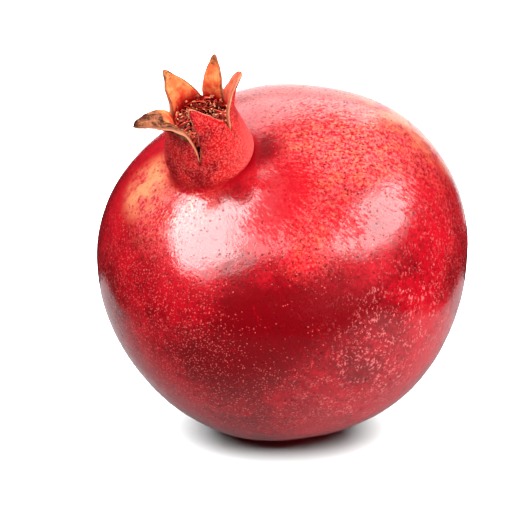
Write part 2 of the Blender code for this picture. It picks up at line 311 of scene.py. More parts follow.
@dataclass
class CrownTube:
    """The crown's tube and sepals, measured along the tube's axis from the seat on the body."""

    body: RoundBody
    sepals: tuple[Sepal, ...] = SEPALS
    axis_polar: float = math.radians(11.8)
    axis_azimuth: float = math.radians(70.6)
    height: float = 15.2 * MM
    foot_radius: float = 12.5 * MM
    rim_radius: float = 8.6 * MM
    wall_at_foot: float = 3.0 * MM
    wall_at_rim: float = 1.5 * MM
    wall_at_tip: float = 0.75 * MM
    slit_sharpness: float = 4.0
    spine_steps: int = 12
    crumple: float = 0.32 * MM
    raggedness: float = 0.12
    tip_start: float = 0.93
    margin_width: float = 0.7 * MM
    edge_rounding: float = 0.55
    edge_thinning: float = 0.36
    rib_height: float = 0.22 * MM

    def __post_init__(self) -> None:
        """Set the tube's axis and the two level directions round it."""
        self.foot = self.body.point(self.body.seat, dented=0.0)
        self.axis = self.body.turn @ polar_direction(self.axis_polar, self.axis_azimuth)
        self.right = (Vector((1, 0, 0)) - self.axis * self.axis.x).normalized()
        self.front = self.right.cross(self.axis)

    def outward(self, azimuth: float) -> Vector:
        """The level direction away from the axis at this azimuth."""
        return self.right * math.cos(azimuth) + self.front * math.sin(azimuth)

    def along(self, azimuth: float) -> Vector:
        """The level direction in which the azimuth grows."""
        return self.front * math.cos(azimuth) - self.right * math.sin(azimuth)

    def radius(self, height: float) -> float:
        """The tube's outer radius at a height above its foot."""
        rest = max(0.0, 1 - height / self.height)
        return self.rim_radius + (self.foot_radius - self.rim_radius) * rest**1.4

    def wall(self, height: float) -> float:
        """Thin the wall from the tube's foot to the sepals' tips.

        Args:
            height: Height above the foot.

        Returns:
            The wall's thickness there.
        """
        if height < self.height:
            thinning = smooth(height / self.height)
            return self.wall_at_foot + (self.wall_at_rim - self.wall_at_foot) * thinning
        longest = max(sepal.length for sepal in self.sepals)
        thinning = smooth((height - self.height) / longest)
        return self.wall_at_rim + (self.wall_at_tip - self.wall_at_rim) * thinning

    def tube_point(self, azimuth: float, height: float, depth: float = 0.0) -> Vector:
        """Find a point in the tube's wall.

        Args:
            azimuth: Angle round the axis, in radians.
            height: Height above the foot.
            depth: Depth below the outer face.

        Returns:
            The point.
        """
        across = self.radius(height) - depth
        return self.foot + self.axis * height + self.outward(azimuth) * across

    def spine(self, sepal: Sepal, rise: float, hinge: float) -> tuple[Vector, Vector]:
        """Follow the middle line of a sepal.

        Args:
            sepal: The sepal to follow.
            rise: Distance above the tube's rim.
            hinge: How far below the rim the sepal begins to bend.

        Returns:
            The point on the middle line, and the direction its outer face looks.
        """
        outward, along = self.outward(sepal.middle), self.along(sepal.middle)
        start = self.height - hinge
        rim_slope = math.atan2(self.radius(start) - self.radius(start - MM), MM)
        place = self.tube_point(sepal.middle, start)
        climb, whole = rise + hinge, sepal.length + hinge
        lean = rim_slope
        for step in range(self.spine_steps):
            share = climb * (step + 0.5) / self.spine_steps / whole
            turned = smooth(share / 0.35)
            lean = rim_slope + (math.radians(sepal.lean) - rim_slope) * turned
            lean += math.radians(sepal.curl) * max(0.0, share) ** 1.6
            side = math.tan(math.radians(sepal.sway)) * turned
            heading = self.axis * math.cos(lean) + outward * math.sin(lean) + along * side
            place = place + heading.normalized() * (climb / self.spine_steps)
        return place, outward * math.cos(lean) - self.axis * math.sin(lean)

    def half_width(self, index: int, across: float, climbed: float) -> float:
        """Give the lobe's half width at a share of the way from its slit to its tip.

        Args:
            index: The lobe's number.
            across: Which of its sides, by sign.
            climbed: 0 at the bottom of the slit and 1 at the tip.

        Returns:
            Half of the lobe's width, in metres.
        """
        sepal = self.sepals[index]
        whole = sepal.half_angle * self.rim_radius
        taper = sepal.taper[0] + (sepal.taper[1] - sepal.taper[0]) * (across + 1) / 2
        width = whole * (1 - climbed**taper) + sepal.tip_width / 2 * climbed
        ragged = noise.noise(Vector((climbed * 5.0, index * 3.7, 0.5)))
        width *= 1 + self.raggedness * ragged * smooth(climbed / 0.3)
        if climbed > self.tip_start:
            along_tip = (climbed - self.tip_start) / (1 - self.tip_start)
            width *= math.sqrt(max(0.03, 1 - along_tip**2))
        return width

    def sepal_spot(self, index: int, across: float, up: float, side: Side) -> Spot:
        """Find a point of a sepal's skin.

        Args:
            index: The sepal's number.
            across: -1 to 1 over its width.
            up: 0 at the tube to 1 at its tip.
            side: The outer or the inner face.

        Returns:
            The point, with its crown, margin and dryness values.
        """
        sepal = self.sepals[index]
        following = self.sepals[(index + 1) % len(self.sepals)]
        slit = sepal.slit if across < 0 else following.slit
        base = -slit * abs(across) ** self.slit_sharpness
        rise = base + (sepal.length - base) * up
        climbed = (rise + slit) / (sepal.length + slit)
        half_width = self.half_width(index, across, climbed)
        turn = across * half_width / self.rim_radius
        thickness = self.wall(self.height + rise)
        # The wall is rounded off towards its free edges.
        to_edge = min(half_width * (1 - abs(across)), (1 - up) * sepal.length)
        free = smooth(up / 0.06)
        rounding = thickness * self.edge_rounding
        short = 1 - min(to_edge / rounding, 1.0)
        thinned = 1 - math.sqrt(max(0.0, 1 - short * short))
        sunk = free * thickness * self.edge_thinning * thinned
        depth = thickness - sunk if side is Side.INNER else sunk
        margin = free * (1 - min(to_edge / self.margin_width, 1.0))
        dry = sepal.dryness * smooth((climbed - sepal.fresh) / 0.5)
        spot = Spot(Vector(), 2 + up, margin, dry, float(side is Side.INNER), sepal.rosy)
        hinge = sepal.hinge * (1 - across) / 2
        if rise <= -hinge:
            spot.place = self.tube_point(sepal.middle + turn, self.height + rise, depth)
            return spot
        place, normal = self.spine(sepal, rise, hinge)
        flattening = 1 + sepal.flattening * (rise + hinge) / (sepal.length + hinge)
        bend = self.radius(self.height - hinge) * flattening
        angle = turn / flattening
        facing = normal * math.cos(angle) + self.along(sepal.middle) * math.sin(angle)
        crumpled = self.crumple * smooth((rise + hinge) / (4 * MM)) * (0.35 + sepal.dryness)
        grain = Vector((across * 2.6, rise / (3.4 * MM), index * 5.3))
        lift = crumpled * noise.noise(grain) + 0.4 * crumpled * noise.noise(grain * 2.7)
        spot.place = place - normal * bend + facing * (bend - depth + lift)
        return spot


@dataclass
class GrownSkin:
    """The rind, crown and cup as one closed skin, extruded ring by ring from the stalk's end."""

    body: RoundBody
    crown: CrownTube
    columns_per_sepal: int = 44
    body_rows: int = 112
    flare_rows: int = 16
    tube_rows: int = 14
    sepal_rows: int = 30
    cup_rows: int = 12
    floor_rows: int = 6
    flare_start: float = math.radians(15.9)
    flare_pull: float = 1.6 * MM
    tube_start: float = 3.5 * MM
    cup_floor: float = 4.5 * MM
    cup_floor_dome: float = 0.6 * MM
    value_names: tuple[str, ...] = ("crown", "margin", "dry", "inside", "rosy")
    mesh: bmesh.types.BMesh = field(default_factory=bmesh.new)

    def __post_init__(self) -> None:
        """Lay out the columns round the crown's seat and the values the finish reads."""
        verts = self.mesh.verts.layers
        self.column = verts.int.new("column")
        self.values = {name: verts.float.new(name) for name in self.value_names}
        self.flow = verts.float_vector.new("flow")
        self.columns = self.columns_per_sepal * len(self.crown.sepals)
        seat, right = self.body.seat, self.crown.right
        self.level_right = (right - seat * right.dot(seat)).normalized()
        self.level_front = self.level_right.cross(seat)

    def across(self, step: int) -> float:
        """Where a column stands over its sepal, -1 to 1, closer together near the edges."""
        even = 2 * step / self.columns_per_sepal - 1
        return 0.5 * even + 0.5 * math.sin(even * math.pi / 2)

    def azimuth(self, column: int) -> float:
        """Find a column's angle round the crown.

        Args:
            column: The column.

        Returns:
            The angle, in radians.
        """
        index, step = divmod(column % self.columns, self.columns_per_sepal)
        sepal = self.crown.sepals[index]
        return sepal.middle + sepal.half_angle * self.across(step)

    def body_direction(self, polar: float, column: int) -> Vector:
        """Look from the body's centre towards the rind.

        Args:
            polar: Angle from the crown's seat, in radians.
            column: The column to look along.

        Returns:
            The unit vector that points that way.
        """
        azimuth = self.azimuth(column)
        level = self.level_right * math.cos(azimuth) + self.level_front * math.sin(azimuth)
        return self.body.seat * math.cos(polar) + level * math.sin(polar)

    def settle(self, vertex: bmesh.types.BMVert, spot: Spot) -> None:
        """Put a vertex in its place and store what its surface is like.

        Args:
            vertex: The vertex to place.
            spot: Its place and values.
        """
        vertex.co = spot.place
        for name, layer in self.values.items():
            vertex[layer] = getattr(spot, name)
        azimuth = self.azimuth(vertex[self.column])
        reach = (spot.place - self.crown.foot).length / self.body.mean_radius
        vertex[self.flow] = Vector((math.cos(azimuth), math.sin(azimuth), reach))

    def start_ring(self, place: Place, middle: Spot) -> Edges:
        """Make a small fan, whose rim has one vertex for each column.

        Args:
            place: Gives the spot of each column.
            middle: The spot of the fan's middle.

        Returns:
            The edges of the rim.
        """
        made = bmesh.ops.create_circle(
            self.mesh, cap_ends=True, cap_tris=True, segments=self.columns, radius=MM
        )
        rim = [v for v in made["verts"] if v.co.length > 0.5 * MM]
        for vertex in set(made["verts"]) - set(rim):
            self.settle(vertex, middle)
        rim.sort(key=lambda v: math.atan2(v.co.y, v.co.x))
        for column, vertex in enumerate(rim):
            vertex[self.column] = column
            self.settle(vertex, place(column))
        held = set(rim)
        return [e for v in rim for e in v.link_edges if set(e.verts) <= held and e.verts[0] is v]

    def extrude(self, edges: Edges, place: Place) -> Edges:
        """Extrude a row of edges.

        Args:
            edges: The row to extrude.
            place: Gives the spot of each column in the new row.

        Returns:
            The new row's edges.
        """
        made = bmesh.ops.extrude_edge_only(self.mesh, edges=edges)["geom"]
        for item in made:
            if isinstance(item, bmesh.types.BMVert):
                self.settle(item, place(item[self.column]))
        return [item for item in made if isinstance(item, bmesh.types.BMEdge)]

    def on_sepal(self, column: int, up: float, side: Side, index: int) -> Spot:
        """The spot of a column on a given sepal."""
        step = (column - index * self.columns_per_sepal) % self.columns
        return self.crown.sepal_spot(index, self.across(step), up, side)

    def grow_sepals(self, ring: Edges, side: Side) -> None:
        """Extrude each sepal by itself, so that a slit is left between two of them.

        Args:
            ring: The edges of the tube's last row.
            side: The face of the wall that is being made.
        """
        for index in range(len(self.crown.sepals)):
            first = index * self.columns_per_sepal
            last = first + self.columns_per_sepal
            wanted = {column % self.columns for column in range(first, last + 1)}
            edges = [e for e in ring if all(v[self.column] in wanted for v in e.verts)]
            for row in range(1, self.sepal_rows + 1):
                up = row / self.sepal_rows
                up *= 1.3 - 0.3 * up
                edges = self.extrude(
                    edges, lambda c, up=up, i=index: self.on_sepal(c, up, side, i)
                )

    def on_body(self, row: int) -> Place:
        """Make the rule that places a row of the body.

        Args:
            row: The row, counted from the stalk's end.

        Returns:
            The rule, which gives the spot of each column.
        """
        step = (math.pi - self.flare_start) / self.body_rows
        polar = math.pi - row * step
        dented = smooth((polar - self.flare_start) / math.radians(12))
        return lambda c: Spot(self.body.point(self.body_direction(polar, c), dented))

    def flare(self, column: int, share: float) -> Spot:
        """Blend the body into the tube along a cubic curve.

        Args:
            column: The column to place.
            share: 0 at the body and 1 at the tube.

        Returns:
            The spot on the blend.
        """
        low = self.body.point(self.body_direction(self.flare_start, column), 0.0)
        lower = self.body.point(self.body_direction(self.flare_start + 0.01, column), 0.0)
        high = self.crown.tube_point(self.azimuth(column), self.tube_start)
        low_pull = (low - lower).normalized() * self.flare_pull
        high_pull = self.crown.axis * -self.flare_pull
        t, s = share, 1 - share
        place = low * s**3 + (low + low_pull) * (3 * s * s * t)
        place += (high + high_pull) * (3 * s * t * t) + high * t**3
        return Spot(place, share)

    def on_tube(self, column: int, share: float, side: Side) -> Spot:
        """Find a spot of the wall, from the tube's start to the curved line under the sepals.

        Args:
            column: The column to place.
            share: 0 at the level start and 1 under the sepals.
            side: The face of the wall.

        Returns:
            The spot.
        """
        azimuth = self.azimuth(column)
        rim = self.on_sepal(column, 0.0, side, column // self.columns_per_sepal)
        if side is Side.INNER:
            height = self.cup_floor + self.crown.wall_at_rim
            level = self.crown.tube_point(azimuth, height, self.crown.wall(height))
        else:
            level = self.crown.tube_point(azimuth, self.tube_start)
        place = level.lerp(rim.place, share)
        rib = noise.noise(Vector((math.cos(azimuth) * 4, math.sin(azimuth) * 4, share * 1.4)))
        lift = self.crown.rib_height * rib * math.sin(math.pi * share)
        place += self.crown.outward(azimuth) * lift
        return Spot(place, 1 + share, 0.0, 0.0, float(side is Side.INNER))

    def on_floor(self, column: int, share: float) -> Spot:
        """Find a spot of the cup's floor, a low dome with a rounded corner.

        Args:
            column: The column to place.
            share: 0 in the middle and 1 at the wall.

        Returns:
            The spot.
        """
        height = self.cup_floor + self.crown.wall_at_rim
        across = self.crown.radius(height) - self.crown.wall(height)
        corner = self.crown.wall_at_rim * (1 - math.sqrt(max(0.0, 1 - share**6)))
        rise = corner + self.cup_floor_dome * (1 - share)
        outward = self.crown.outward(self.azimuth(column)) * across * share
        place = self.crown.foot + self.crown.axis * (self.cup_floor + rise) + outward
        return Spot(place, 1.0, 0.0, 0.0, 1.0)

    def outer_skin(self) -> None:
        """Extrude from the stalk's dimple up the body and the tube to the sepals' tips."""
        ring = self.start_ring(self.on_body(1), Spot(self.body.point(-self.body.seat)))
        for row in range(2, self.body_rows + 1):
            ring = self.extrude(ring, self.on_body(row))
        for row in range(1, self.flare_rows + 1):
            ring = self.extrude(ring, lambda c, s=row / self.flare_rows: self.flare(c, s))
        for row in range(1, self.tube_rows + 1):
            share = row / self.tube_rows
            ring = self.extrude(ring, lambda c, s=share: self.on_tube(c, s, Side.OUTER))
        self.grow_sepals(ring, Side.OUTER)

    def inner_skin(self) -> None:
        """Extrude from the cup's floor up its wall to the sepals' inner faces."""
        middle = self.crown.axis * (self.cup_floor + self.cup_floor_dome)
        ring = self.start_ring(
            lambda c: self.on_floor(c, 1 / self.floor_rows),
            Spot(self.crown.foot + middle, 1.0, 0.0, 0.0, 1.0),
        )
        for row in range(2, self.floor_rows + 1):
            ring = self.extrude(ring, lambda c, s=row / self.floor_rows: self.on_floor(c, s))
        for row in range(1, self.cup_rows + 1):
            share = row / self.cup_rows
            ring = self.extrude(ring, lambda c, s=share: self.on_tube(c, s, Side.INNER))
        self.grow_sepals(ring, Side.INNER)

    def cut_rest_spot(self) -> None:
        """Press the body flat where it rests."""
        whole = self.mesh.verts[:] + self.mesh.edges[:] + self.mesh.faces[:]
        cut = bmesh.ops.bisect_plane(
            self.mesh, geom=whole, plane_co=(0, 0, 0), plane_no=(0, 0, -1), clear_outer=True
        )
        edges = [e for e in cut["geom_cut"] if isinstance(e, bmesh.types.BMEdge)]
        bmesh.ops.contextual_create(self.mesh, geom=edges)

    def build(self) -> bmesh.types.BMesh:
        """Make the whole skin.

        Returns:
            The closed mesh, facing out.
        """
        self.outer_skin()
        self.inner_skin()
        rims = [e for e in self.mesh.edges if e.is_boundary]
        bmesh.ops.bridge_loops(self.mesh, edges=rims)
        self.cut_rest_spot()
        bmesh.ops.recalc_face_normals(self.mesh, faces=self.mesh.faces)
        return self.mesh


def finished_piece(
    name: str, mesh: bmesh.types.BMesh, finish: bpy.types.Material, slot: str, *nodes: str
) -> bpy.types.Object:
    """Turn a mesh into a piece that stands for solids of the frame.

    Args:
        name: The piece's name.
        mesh: Its mesh, in place, which is used up.
        finish: Its material.
        slot: Not used.
        nodes: The nodes that the piece stands for.

    Returns:
        The piece's object.
    """
    data = bpy.data.meshes.new(name)
    mesh.to_mesh(data)
    mesh.free()
    data.materials.append(finish)
    data.shade_smooth()
    piece = added(name, data)
    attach(piece, "root")
    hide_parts(*nodes)
    LOG.info("%s: %d faces", name, len(data.polygons))
    return piece


@dataclass
class Stamens:
    """The dried stamens, which stand in a curly tangle round the inside of the crown."""

    crown: CrownTube
    count: int = 240
    seed: int = 11
    sides: int = 4
    steps: int = 9
    lowest_root: float = 9.0 * MM
    highest_root: float = 13.8 * MM
    length: float = 6.4 * MM
    filament_radius: float = 0.12 * MM
    anther_radius: float = 0.25 * MM
    anther_length: float = 0.75 * MM
    clearance: float = 0.35 * MM
    headroom: float = 0.7 * MM
    mesh: bmesh.types.BMesh = field(default_factory=bmesh.new)

    def held_in(self, place: Vector) -> Vector:
        """Keep a place inside the cup.

        Args:
            place: A place that a filament wants to reach.

        Returns:
            The place, drawn in to the wall where it would pass through it.
        """
        offset = place - self.crown.foot
        height = offset.dot(self.crown.axis)
        level = offset - self.crown.axis * height
        height = min(height, self.crown.height + self.headroom)
        low = min(height, self.crown.height)
        limit = self.crown.radius(low) - self.crown.wall(low) - self.clearance
        if level.length > limit:
            level *= limit / level.length
        return self.crown.foot + self.crown.axis * height + level

    def path(self, chance: random.Random) -> list[Vector]:
        """Bend one filament from the wall in over the cup.

        Args:
            chance: The source of its differences from the others.

        Returns:
            The points along the filament.
        """
        azimuth = chance.uniform(0, math.tau)
        height = chance.uniform(self.lowest_root, self.highest_root)
        root = self.crown.tube_point(azimuth, height, self.crown.wall(height) + 0.1 * MM)
        inward, along = -self.crown.outward(azimuth), self.crown.along(azimuth)
        length = self.length * chance.uniform(0.65, 1.1)
        lift = chance.uniform(0.1, 1.05)
        bow = chance.uniform(-1.4, 0.7)
        sway = chance.uniform(-1.1, 1.1)
        curl = chance.uniform(-3.4, 3.4)
        points = [root]
        for step in range(self.steps):
            share = (step + 0.5) / self.steps
            tilt = lift + bow * share + 0.9 * math.sin(curl * share * 2)
            turn = sway + curl * share * share
            heading = self.crown.axis * math.sin(tilt) + inward * math.cos(tilt) * math.cos(turn)
            heading += along * math.cos(tilt) * math.sin(turn)
            step_end = points[-1] + heading.normalized() * (length / self.steps)
            points.append(self.held_in(step_end))
        return points

    def thread(self, points: list[Vector], radii: list[float], tone: float) -> None:
        """Extrude a round thread ring by ring.

        Args:
            points: The middle of each ring.
            radii: The radius of each ring.
            tone: 0 to 1, how pale this thread is.
        """
        single = bmesh.new()
        ripe = single.verts.layers.float.new("ripe")
        shade = single.verts.layers.float.new("tone")
        ring = bmesh.ops.create_circle(single, segments=self.sides, radius=1.0)["verts"]
        edges = single.edges[:]
        before = Matrix.Identity(4)
        for number, (place, radius) in enumerate(zip(points, radii)):
            behind = points[max(number - 1, 0)]
            ahead = points[min(number + 1, len(points) - 1)]
            facing = (ahead - behind).to_track_quat("Z", "Y").to_matrix().to_4x4()
            now = Matrix.Translation(place) @ facing @ Matrix.Scale(radius, 4)
            if number:
                made = bmesh.ops.extrude_edge_only(single, edges=edges)["geom"]
                ring = [item for item in made if isinstance(item, bmesh.types.BMVert)]
                edges = [item for item in made if isinstance(item, bmesh.types.BMEdge)]
            bmesh.ops.transform(single, matrix=now @ before.inverted(), verts=ring)
            before = now
            for vertex in ring:
                vertex[ripe] = max(0.0, (number - self.steps) / (len(points) - self.steps - 1))
                vertex[shade] = tone
        bmesh.ops.holes_fill(single, edges=[e for e in single.edges if e.is_boundary])
        bmesh.ops.recalc_face_normals(single, faces=single.faces)
        joined = bpy.data.meshes.new("thread")
        single.to_mesh(joined)
        single.free()
        self.mesh.from_mesh(joined)
        bpy.data.meshes.remove(joined)

    def build(self, finish: bpy.types.Material) -> bpy.types.Object:
        """Make all the stamens as one piece.

        Args:
            finish: The dried stamens' material.

        Returns:
            The piece, which stands for every stamen node.
        """
        self.mesh.verts.layers.float.new("ripe")
        self.mesh.verts.layers.float.new("tone")
        chance = random.Random(self.seed)
        swelling = ((0.12, 0.8), (0.45, 1.0), (0.8, 0.85), (1.0, 0.35))
        for _ in range(self.count):
            points = self.path(chance)
            radii = [self.filament_radius * (1.25 - 0.5 * s / self.steps) for s in range(len(points))]
            heading = (points[-1] - points[-2]).normalized()
            heading = (heading + self.crown.axis * chance.uniform(-0.6, 0.6)).normalized()
            tip = points[-1].copy()
            size = chance.uniform(0.7, 1.15)
            for share, width in swelling:
                points.append(self.held_in(tip + heading * (self.anther_length * share * size)))
                radii.append(self.anther_radius * width * size)
            self.thread(points, radii, chance.random())
        nodes = sorted(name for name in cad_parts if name.startswith("stamen_"))
        return finished_piece("stamens", self.mesh, finish, "dried_stamen", *nodes)


@dataclass
class Style:
    """The dried style in the middle of the cup, with its lobed stigma."""

    crown: CrownTube
    foot: float = 5.4 * MM
    height: float = 7.4 * MM
    radius: float = 0.55 * MM
    segments: int = 20
    lobes: int = 5
    lobe_depth: float = 0.14
    wither: float = 0.2
    # Share of the height, and the width there as a share of the radius.
    profile: tuple[tuple[float, float], ...] = (
        (0.0, 1.5), (0.06, 1.25), (0.15, 1.05), (0.35, 0.95), (0.55, 0.98), (0.72, 0.92),
        (0.8, 1.05), (0.86, 1.5), (0.92, 1.6), (0.97, 1.4), (1.0, 0.8),
    )

    def build(self, finish: bpy.types.Material) -> bpy.types.Object:
        """Turn the style's outline round the tube's axis.

        Args:
            finish: The dried stamens' material.

        Returns:
            The piece.
        """
        outline = [(self.radius * width, self.height * share) for share, width in self.profile]
        mesh = turned([(0, 0), *outline, (0, self.height)], self.segments)
        for vertex in mesh.verts:
            around = math.atan2(vertex.co.y, vertex.co.x)
            lobes = 1 + self.lobe_depth * math.cos(self.lobes * around)
            wither = 1 + self.wither * noise.noise(vertex.co / (0.9 * MM))
            vertex.co.x *= lobes * wither
            vertex.co.y *= lobes * wither
        stand(mesh, self.crown.foot + self.crown.axis * self.foot, self.crown.axis)
        mesh.verts.layers.float.new("ripe")
        mesh.verts.layers.float.new("tone")
        return finished_piece("dried_style", mesh, finish, "dried_stamen", "style")


@dataclass
class StalkStub:
    """The woody stub that is left where the stalk was clipped."""

    body: RoundBody
    gap: float = 0.3 * MM
    radius: float = 2.6 * MM
    length: float = 4.0 * MM
    segments: int = 48
    bark_depth: float = 0.035
    end_relief: float = 0.12 * MM
    # Share of the length, and the width there as a share of the radius.
    profile: tuple[tuple[float, float], ...] = (
        (0.0, 1.12), (0.05, 1.16), (0.12, 1.13), (0.2, 1.05), (0.3, 1.0), (0.42, 0.97),
        (0.55, 0.98), (0.68, 0.95), (0.8, 0.97), (0.9, 0.98), (0.96, 0.93),
    )

    def build(self, finish: bpy.types.Material) -> bpy.types.Object:
        """Turn the stub and roughen its bark and its clipped end.

        Args:
            finish: The bark's material.

        Returns:
            The piece.
        """
        outline = [(self.radius * width, self.length * share) for share, width in self.profile]
        outline += [(self.radius * width, self.length * 0.94) for width in (0.75, 0.5, 0.25)]
        mesh = turned([(0, 0), *outline, (0, self.length * 0.95)], self.segments)
        for vertex in mesh.verts:
            bark = noise.noise(Vector((vertex.co.x, vertex.co.y, vertex.co.z * 0.3)) / (0.8 * MM))
            vertex.co.x *= 1 + self.bark_depth * bark
            vertex.co.y *= 1 + self.bark_depth * bark
            if vertex.co.z > 0.9 * self.length:
                vertex.co.z += self.end_relief * noise.noise(vertex.co / (0.7 * MM))
        seat = self.body.point(self.body.stalk, 0.0) + self.body.stalk * self.gap
        stand(mesh, seat, self.body.stalk)
        return finished_piece("stalk_end", mesh, finish, "stalk_wood", "stalk_stub")


@dataclass(frozen=True)
class Signal:
    """A node's output. Sums, products and ramps of it lay out further nodes."""

    bench: "Bench"
    socket: bpy.types.NodeSocket

    def __add__(self, other: "Signal | float") -> "Signal":
        """Add another value."""
        return self.bench.math("ADD", self, other)

    def __sub__(self, other: "Signal | float") -> "Signal":
        """Take away another value."""
        return self.bench.math("SUBTRACT", self, other)

    def __rsub__(self, other: float) -> "Signal":
        """Take this away from a number."""
        return self.bench.math("SUBTRACT", other, self)

    def __mul__(self, other: "Signal | float") -> "Signal":
        """Multiply by another value."""
        return self.bench.math("MULTIPLY", self, other)

    def clamped(self) -> "Signal":
        """Keep the result of the last sum or product from 0 to 1."""
        self.socket.node.use_clamp = True
        return self

    def beside(self, output: str) -> "Signal":
        """Another output of the same node."""
        return Signal(self.bench, self.socket.node.outputs[output])

    def stretched(self, *scale: float) -> "Signal":
        """Stretch a pattern's places."""
        return self.bench.node("Mapping", "Vector", {"Vector": self, "Scale": scale})

    def noise(self, size: float, detail: float = 3, rough: float = 0.55) -> "Signal":
        """Lay out cloudy noise over these places.

        Args:
            size: The size of a cloud, in the places' unit.
            detail: How many finer layers it has.
            rough: How strong they are.

        Returns:
            The noise, mostly from 0.3 to 0.7.
        """
        inputs = {"Vector": self, "Scale": 1 / size, "Detail": detail, "Roughness": rough}
        return self.bench.node("TexNoise", "Fac", inputs)

    def span(self, low: float, high: float, start: float = 0, end: float = 1) -> "Signal":
        """Ease the value from one range to another.

        Args:
            low: What becomes start.
            high: What becomes end.
            start: The result at low and under it.
            end: The result at high and over it.

        Returns:
            The eased value.
        """
        inputs = {"Value": self, "From Min": low, "From Max": high, "To Min": start, "To Max": end}
        return self.bench.node("MapRange", "Result", inputs, interpolation_type="SMOOTHSTEP")

    def dots(self, spacing: float, radius: float, share: "Signal | float", soft: float) -> "Signal":
        """Scatter dots over these places.

        Args:
            spacing: The distance between neighbours, in the places' unit.
            radius: The radius of the largest dot.
            share: How many of the places have a dot, 0 to 1.
            soft: How soft a dot's edge is, as a share of its radius.

        Returns:
            1 in a dot and 0 elsewhere.
        """
        inputs = {"Vector": self, "Scale": 1 / spacing}
        cells = self.bench.node("TexVoronoi", "Distance", inputs)
        red = self.bench.node("SeparateColor", "Red", {"Color": cells.beside("Color")})
        reach = radius / spacing
        near = cells + red.beside("Green") * (reach * 0.6)
        return near.span(reach * (1 - soft), reach, 1, 0) * self.bench.math("LESS_THAN", red, share)

    def ball(self, middle: Vector, radius: float) -> "Signal":
        """Mark a soft round region of these places.

        Args:
            middle: Its middle, in metres.
            radius: Its radius, in millimetres.

        Returns:
            1 in its middle and 0 from its radius on.
        """
        inputs = {0: self, 1: tuple(middle / MM)}
        away = self.bench.node("VectorMath", "Value", inputs, operation="DISTANCE")
        return away.span(0, radius, 1, 0)

    def bump(self, relief: float) -> "Signal":
        """Raise the surface by this pattern, with the given relief in metres."""
        return self.bench.node("Bump", "Normal", {"Height": self, "Strength": 1, "Distance": relief})


class Bench:
    """A small bench on which one material's nodes are laid out."""

    def __init__(self, name: str) -> None:
        """Start a material with a bare Principled shader.

        Args:
            name: The material's name.
        """
        self.material = bpy.data.materials.new(name)
        self.material.use_nodes = True
        self.tree = self.material.node_tree

    def put(self, socket: bpy.types.NodeSocket, value: object) -> None:
        """Fill a node's input.

        Args:
            socket: The input.
            value: A signal to link, or a constant.
        """
        if isinstance(value, Signal):
            self.tree.links.new(value.socket, socket)
        elif socket.type == "RGBA":
            socket.default_value = (*value, 1)
        else:
            socket.default_value = value

    def node(
        self, kind: str, output: str | int, inputs: dict[str | int, object], **settings: str
    ) -> Signal:
        """Add a node.

        Args:
            kind: Its type, without ShaderNode in front.
            output: The output to read.
            inputs: Signals and constants for its inputs.
            settings: Its other settings.

        Returns:
            The output's signal.
        """
        made = self.tree.nodes.new("ShaderNode" + kind)
        for name, setting in settings.items():
            setattr(made, name, setting)
        for name, value in inputs.items():
            self.put(made.inputs[name], value)
        return Signal(self, made.outputs[output])

    def grid(self) -> Signal:
        """Places on the piece, in millimetres."""
        return self.node("TexCoord", "Object", {}).stretched(1 / MM, 1 / MM, 1 / MM)

    def value(self, name: str, output: str = "Fac") -> Signal:
        """Read a value that is stored on the mesh."""
        return self.node("Attribute", output, {}, attribute_name=name)

    def math(self, operation: str, first: Signal | float, second: Signal | float) -> Signal:
        """Work out a number from two others."""
        return self.node("Math", "Value", {0: first, 1: second}, operation=operation)

    def blend(self, share: Signal, first: Signal | Colour, second: Signal | Colour) -> Signal:
        """Mix two colours.

        Args:
            share: How much of the second one.
            first: The colour underneath.
            second: The colour on top.

        Returns:
            The mixed colour.
        """
        inputs = {"Factor": share, 6: first, 7: second}
        return self.node("Mix", 2, inputs, data_type="RGBA")

    def finish(self, **inputs: object) -> bpy.types.Material:
        """Fill the shader's sockets.

        Args:
            inputs: Values by socket name, with _ for a space.

        Returns:
            The finished material.
        """
        shader = self.tree.nodes["Principled BSDF"]
        for name, value in inputs.items():
            self.put(shader.inputs[name.replace("_", " ")], value)
        return self.material


@dataclass(frozen=True)
class Zone:
    """A soft round part of the rind, given by its direction from the body's middle."""

    x: float
    y: float
    z: float
    radius: float
    strength: float = 1.0


